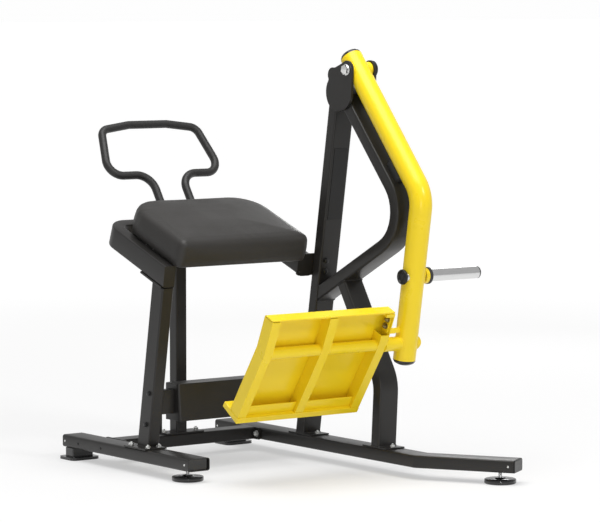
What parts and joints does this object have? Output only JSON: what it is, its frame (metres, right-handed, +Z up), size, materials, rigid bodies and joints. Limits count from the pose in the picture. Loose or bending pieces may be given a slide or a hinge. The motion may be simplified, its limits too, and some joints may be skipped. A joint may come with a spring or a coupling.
{
  "type": "glute kickback machine",
  "caption": "Free-standing rear-kick leg machine with a sloped body pad, hand loop and toe board beside a braced upright that carries a weight-loaded swing arm with a foot plate.",
  "frame": {"origin": "centre of the bounding box on the floor plane that the feet stand on", "axes": "+X to the user's right, +Y the way the user faces over the pad, +Z up"},
  "size_m": [1.1076, 1.6148, 1.593],
  "materials": {
    "frame_paint": "satin charcoal powder coat",
    "arm_paint": "gloss yellow powder coat",
    "chrome": "polished chrome plate",
    "zinc": "bright steel shaft",
    "bronze": "plain bronze bush",
    "black_bolt": "blackened steel",
    "black_rubber": "matt black rubber",
    "black_plastic": "black moulded plastic",
    "pad_cover": "matt charcoal vinyl upholstery over foam",
    "board": "dark plywood"
  },
  "bodies": {
    "frame": {"left_base_rail": "frame_paint", "main_base_rail": "frame_paint", "base_cross_beam": "frame_paint", "left_rail_front_cap": "black_plastic", "left_rail_rear_cap": "black_plastic", "main_rail_front_cap": "black_plastic", "main_rail_rear_cap": "black_plastic", "left_rear_foot": "frame_paint", "main_rear_foot": "frame_paint", "seat_post": "frame_paint", "rear_column": "frame_paint", "main_upright": "frame_paint", "main_brace": "frame_paint", "curved_leg": "frame_paint", "toe_board": "frame_paint", "toe_board_left_bracket": "frame_paint", "toe_board_right_bracket": "frame_paint", "seat_frame": "frame_paint", "seat_frame_flange": "frame_paint", "front_pad_strap": "frame_paint", "rear_pad_strap": "frame_paint", "pad_board": "board", "pad_cushion": "pad_cover", "handle_loop": "black_rubber", "left_fork_plate": "frame_paint", "right_fork_plate": "frame_paint", "pivot_bolt": "chrome", "pivot_end_disc": "black_plastic", "stop_bumper": "black_rubber", "placard": "black_plastic", "upper_flange_bolt": "black_bolt", "lower_flange_bolt": "black_bolt"},
    "left_leveller": {"left_leveller_disc": "black_rubber", "left_leveller_stud": "chrome"},
    "main_leveller": {"main_leveller_disc": "black_rubber", "main_leveller_stud": "chrome"},
    "swing_arm": {"lever_tube": "arm_paint", "pivot_hub": "arm_paint", "left_pivot_bush": "bronze", "right_pivot_bush": "bronze", "lever_top_cap": "black_plastic", "lever_bottom_cap": "black_plastic", "weight_horn": "chrome", "horn_collar": "arm_paint", "horn_ring": "black_rubber", "horn_left_cap": "black_plastic", "horn_end_cap": "chrome", "lower_hub": "arm_paint", "stop_lug": "arm_paint"},
    "foot_plate": {"foot_skin": "arm_paint", "foot_ledge": "arm_paint", "left_rib": "arm_paint", "centre_rib": "arm_paint", "right_rib": "arm_paint", "left_mid_tube": "arm_paint", "right_mid_tube": "arm_paint", "foot_shaft": "zinc", "foot_shaft_cap": "arm_paint", "stop_fingers": "arm_paint", "corner_bracket": "arm_paint"}
  },
  "joints": [
    {"name": "arm_swing", "type": "hinge", "parent": "frame", "child": "swing_arm", "pos_m": [0.24315, -0.07057, 1.5145], "axis": [-1, 0, 0], "range_deg": [0, 60]},
    {"name": "foot_plate_tilt", "type": "hinge", "parent": "swing_arm", "child": "foot_plate", "pos_m": [0.13095, -0.36977, 0.5015], "axis": [1, 0, 0], "range_deg": [0, 15]},
    {"name": "left_leveller_turn", "type": "hinge", "parent": "frame", "child": "left_leveller", "pos_m": [-0.48285, 0.01543, 0], "axis": [0, 0, 1], "continuous": true},
    {"name": "main_leveller_turn", "type": "hinge", "parent": "frame", "child": "main_leveller", "pos_m": [0.4069, -0.72312, 0], "axis": [0, 0, 1], "continuous": true}
  ]
}
